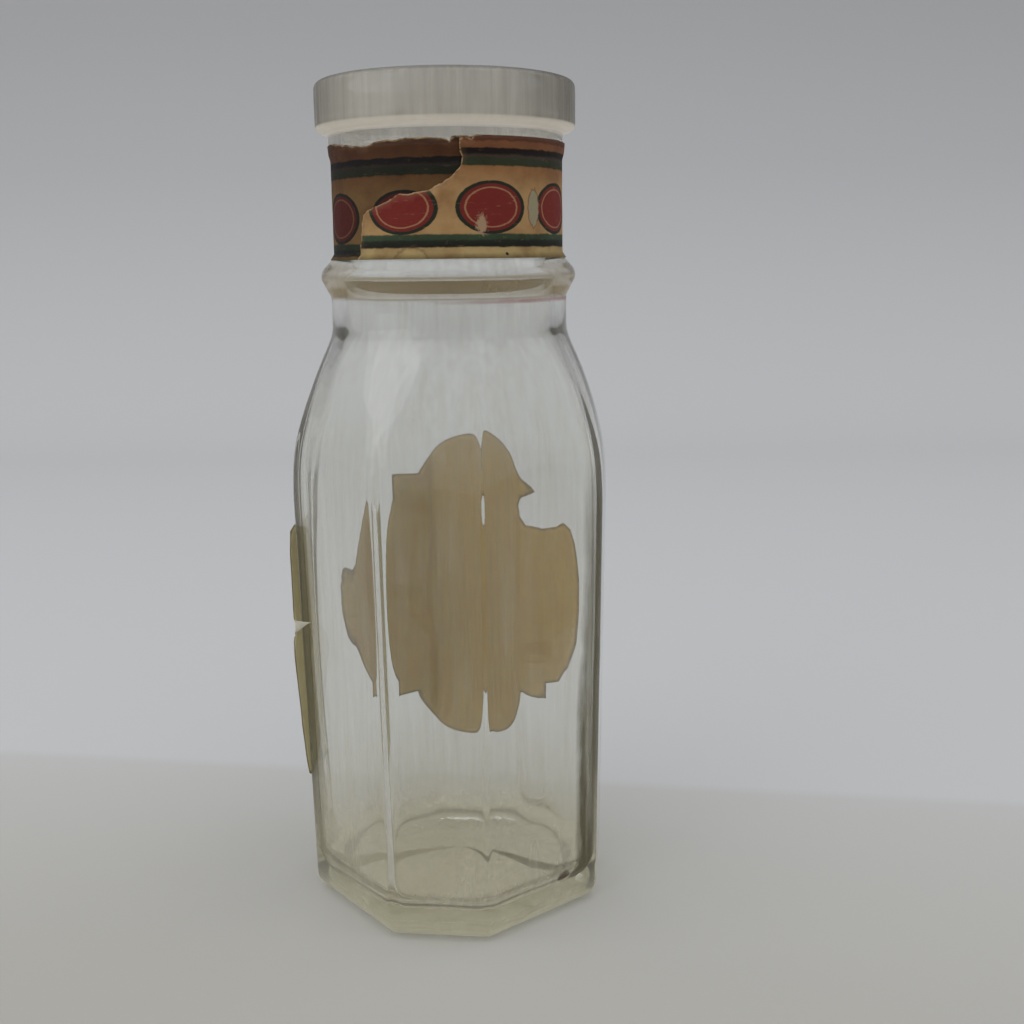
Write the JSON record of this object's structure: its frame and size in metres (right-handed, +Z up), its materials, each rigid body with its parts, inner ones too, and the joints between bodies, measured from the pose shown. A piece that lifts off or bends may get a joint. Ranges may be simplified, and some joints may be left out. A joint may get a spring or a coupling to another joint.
{
  "type": "specimen jar",
  "caption": "Tall clear glass jar with an eight-sided body, beaded neck, open flared mouth and worn paper labels.",
  "frame": {"origin": "middle of the foot, on the surface the jar stands on", "axes": "+Z up along the jar's axis, X and Y square to its broad flats, the back label on +Y and the side label on -X"},
  "size_m": [0.079, 0.0792, 0.2094],
  "materials": {
    "clear_glass": "gloss",
    "printed_paper": "satin",
    "label_paper": "matte"
  },
  "bodies": {
    "root": {"glass_jar": "clear_glass", "neck_band_under": "printed_paper", "neck_band_over": "printed_paper", "back_label": "label_paper", "side_label": "label_paper"}
  },
  "joints": []
}
